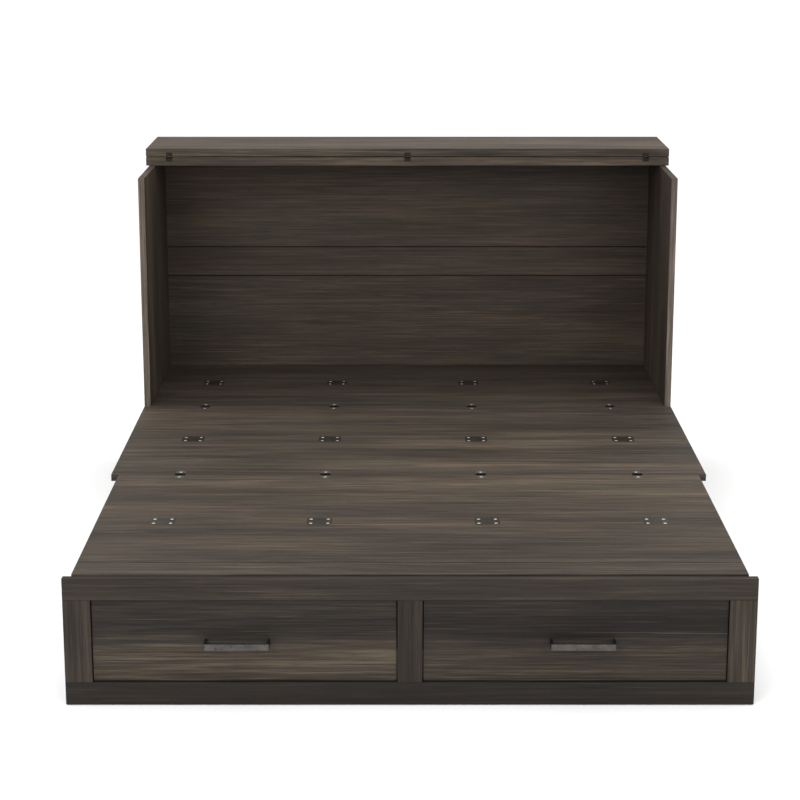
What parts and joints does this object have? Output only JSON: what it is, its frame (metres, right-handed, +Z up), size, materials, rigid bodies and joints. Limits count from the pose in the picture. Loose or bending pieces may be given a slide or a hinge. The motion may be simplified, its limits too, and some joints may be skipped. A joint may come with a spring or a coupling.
{
  "type": "murphy wall bed",
  "caption": "Chest-style cabinet bed shown open: a folding slatless deck between an open cabinet with a lidded top and a rolling drawer base, in grey-brown wood.",
  "frame": {"origin": "on the floor, under the middle of the open bed's outer box", "axes": "+X is the bed's width towards its right side, +Y runs from the footboard to the cabinet's back, +Z is up"},
  "size_m": [1.6586, 2.126, 1.0918],
  "materials": {
    "driftwood": "matt grey-brown wood grain",
    "drawer_board": "pale lacquered ply",
    "plate_steel": "dark satin",
    "hinge_steel": "dull zinc",
    "screw_steel": "bright zinc",
    "bracket_steel": "black powder coat",
    "wheel_rubber": "matt",
    "pull_metal": "brushed"
  },
  "bodies": {
    "cabinet": {"left_side_panel": "driftwood", "right_side_panel": "driftwood", "fixed_top": "driftwood", "back_upper_board": "driftwood", "back_middle_rail": "driftwood", "back_lower_board": "driftwood", "rear_posts": "driftwood", "deck_supports": "driftwood", "rear_deck_front_board": "driftwood", "rear_deck_back_board": "driftwood", "rear_deck_plates": "plate_steel", "rear_deck_screws": "screw_steel", "rear_deck_hinge_leaves": "hinge_steel", "rear_hinge_pins": "hinge_steel", "lid_hinge_fixed_leaves": "hinge_steel", "lid_hinge_pins": "hinge_steel"},
    "lid": {"lid_panel": "driftwood", "lid_hinge_moving_leaves": "hinge_steel"},
    "middle_deck": {"middle_deck_back_board": "driftwood", "middle_deck_front_board": "driftwood", "middle_deck_plates": "plate_steel", "middle_deck_screws": "screw_steel", "middle_deck_back_leaves": "hinge_steel", "middle_deck_front_leaves": "hinge_steel", "fold_hinge_pins": "hinge_steel"},
    "foot_deck": {"foot_deck_back_board": "driftwood", "foot_deck_front_board": "driftwood", "foot_deck_plates": "plate_steel", "foot_deck_screws": "screw_steel", "foot_deck_hinge_leaves": "hinge_steel", "leg_brackets": "bracket_steel"},
    "legs": {"support_legs": "driftwood", "leg_shaft": "bracket_steel"},
    "base": {"footboard_top_rail": "driftwood", "footboard_bottom_rail": "driftwood", "footboard_left_stile": "driftwood", "footboard_right_stile": "driftwood", "footboard_centre_stile": "driftwood", "ledge_board": "driftwood", "ledge_batten": "driftwood", "base_left_side": "driftwood", "base_right_side": "driftwood", "base_bottom": "driftwood", "base_back": "driftwood", "base_divider": "driftwood", "drawer_runners": "drawer_board", "caster_forks": "bracket_steel", "caster_axles": "bracket_steel"},
    "front_caster_wheels": {"front_wheels": "wheel_rubber"},
    "rear_caster_wheels": {"rear_wheels": "wheel_rubber"},
    "left_drawer": {"left_drawer_front": "driftwood", "left_drawer_sides": "drawer_board", "left_drawer_back": "drawer_board", "left_drawer_bottom": "drawer_board", "left_drawer_pull": "pull_metal"},
    "right_drawer": {"right_drawer_front": "driftwood", "right_drawer_sides": "drawer_board", "right_drawer_back": "drawer_board", "right_drawer_bottom": "drawer_board", "right_drawer_pull": "pull_metal"}
  },
  "joints": [
    {"name": "lid_hinge", "type": "hinge", "parent": "cabinet", "child": "lid", "pos_m": [0, 0.7615, 1.0655], "axis": [1, 0, 0], "range_deg": [0, 180]},
    {"name": "base_slide", "type": "slide", "parent": "cabinet", "child": "base", "axis": [0, 1, 0], "range_m": [0, 1.411]},
    {"name": "middle_deck_fold", "type": "hinge", "parent": "cabinet", "child": "middle_deck", "pos_m": [0, 0.479, 0.3245], "axis": [-1, 0, 0], "range_deg": [0, 90]},
    {"name": "foot_deck_fold", "type": "hinge", "parent": "middle_deck", "child": "foot_deck", "pos_m": [0, -0.23, 0.3245], "axis": [-1, 0, 0], "range_deg": [0, 180]},
    {"name": "legs_fold", "type": "hinge", "parent": "foot_deck", "child": "legs", "pos_m": [0, -0.275, 0.287], "axis": [-1, 0, 0], "range_deg": [0, 90]},
    {"name": "front_wheels_roll", "type": "hinge", "parent": "base", "child": "front_caster_wheels", "pos_m": [0, -0.957, 0.02], "axis": [-1, 0, 0], "range_deg": [0, 4043]},
    {"name": "rear_wheels_roll", "type": "hinge", "parent": "base", "child": "rear_caster_wheels", "pos_m": [0, -0.57, 0.02], "axis": [-1, 0, 0], "range_deg": [0, 4043]},
    {"name": "left_drawer_slide", "type": "slide", "parent": "base", "child": "left_drawer", "axis": [0, -1, 0], "range_m": [0, 0.36]},
    {"name": "right_drawer_slide", "type": "slide", "parent": "base", "child": "right_drawer", "axis": [0, -1, 0], "range_m": [0, 0.36]}
  ],
  "couplings": [
    {"joint": "middle_deck_fold", "follows": "base_slide", "rad_per_m": 1.1133},
    {"joint": "front_wheels_roll", "follows": "base_slide", "rad_per_m": 50},
    {"joint": "rear_wheels_roll", "follows": "base_slide", "rad_per_m": 50}
  ]
}
